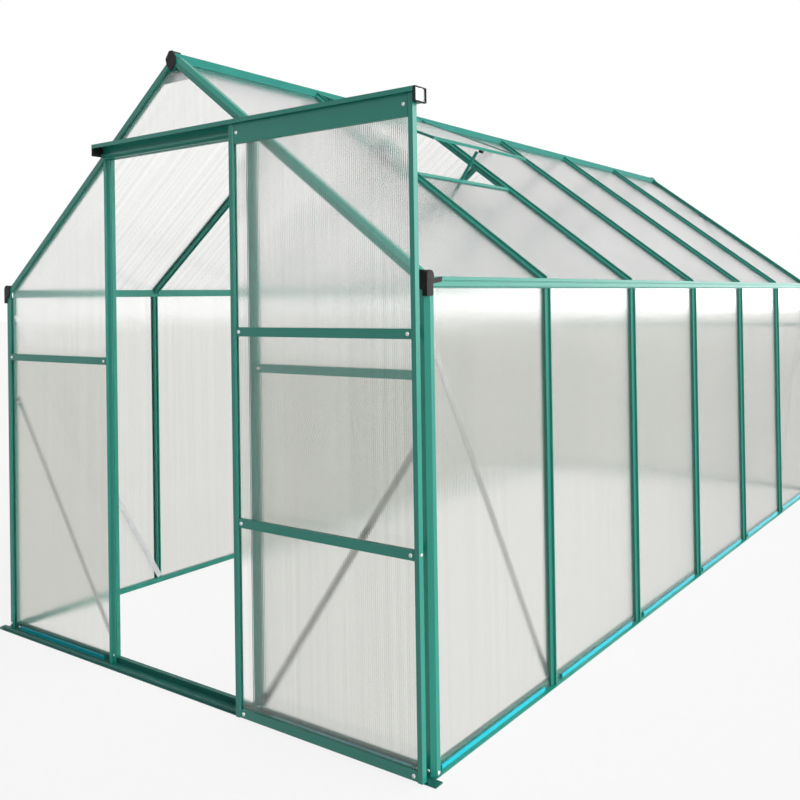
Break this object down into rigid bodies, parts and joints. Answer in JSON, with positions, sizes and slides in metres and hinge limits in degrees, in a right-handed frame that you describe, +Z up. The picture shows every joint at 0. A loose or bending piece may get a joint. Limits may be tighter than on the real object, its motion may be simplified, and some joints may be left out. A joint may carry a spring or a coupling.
{
  "type": "greenhouse",
  "caption": "Gable-roofed hobby greenhouse with a green aluminium frame, translucent twin-wall sheets, a sliding front door and one open roof vent.",
  "frame": {"origin": "centre of the whole greenhouse's footprint, on the ground", "axes": "+Z up; +Y from the front gable with the sliding door to the back gable; +X to the right when facing the front gable from outside"},
  "size_m": [1.95, 3.724, 1.908],
  "materials": {
    "frame_green": "satin green powder coat on extruded aluminium",
    "bare_aluminium": "plain mill-finish flat bar",
    "twin_wall_sheet": "translucent, finely fluted",
    "black_plastic": "moulded, satin black",
    "turquoise_plastic": "glossy turquoise extrusion"
  },
  "bodies": {
    "house": {"base_rail_front": "frame_green", "base_rail_back": "frame_green", "base_rail_left": "frame_green", "base_rail_right": "frame_green", "corner_posts_left": "frame_green", "corner_posts_right": "frame_green", "side_studs_left": "frame_green", "side_studs_right": "frame_green", "eave_rail_left": "frame_green", "eave_rail_right": "frame_green", "ridge_beam": "frame_green", "gable_rafter_front_left": "frame_green", "gable_rafter_front_right": "frame_green", "gable_rafters_back": "frame_green", "roof_bars_left": "frame_green", "roof_bar_right_first": "frame_green", "roof_bars_right": "frame_green", "door_jamb_left": "frame_green", "door_jamb_right": "frame_green", "back_gable_studs": "frame_green", "cross_rail_front": "frame_green", "cross_rail_back": "frame_green", "mid_rail_front_left": "frame_green", "mid_rail_front_right": "frame_green", "mid_rails_back": "frame_green", "door_track": "frame_green", "brace_front_left": "bare_aluminium", "brace_front_right": "bare_aluminium", "braces_back": "bare_aluminium", "braces_left": "bare_aluminium", "braces_right": "bare_aluminium", "gable_gussets": "bare_aluminium", "vent_sill": "frame_green", "vent_sash_rails": "frame_green", "vent_sheet": "twin_wall_sheet", "vent_stay": "frame_green", "vent_knob": "black_plastic", "track_end_caps": "black_plastic", "eave_corner_caps": "black_plastic", "ridge_end_caps": "black_plastic", "base_glazing_strips": "turquoise_plastic", "wall_sheets_left": "twin_wall_sheet", "wall_sheets_right": "twin_wall_sheet", "roof_sheets_left": "twin_wall_sheet", "roof_sheet_right_first": "twin_wall_sheet", "roof_sheet_below_vent": "twin_wall_sheet", "roof_sheets_right": "twin_wall_sheet", "gable_sheets_front_left": "twin_wall_sheet", "gable_sheets_front_right": "twin_wall_sheet", "gable_sheet_front_top": "twin_wall_sheet", "gable_sheets_back": "twin_wall_sheet"},
    "door": {"door_stiles": "frame_green", "door_top_rail": "frame_green", "door_cross_rails": "frame_green", "door_sheets": "twin_wall_sheet", "door_rollers": "black_plastic", "door_guides": "black_plastic"}
  },
  "joints": [
    {"name": "door_slide", "type": "slide", "parent": "house", "child": "door", "axis": [-1, 0, 0], "range_m": [0, 0.624]}
  ]
}
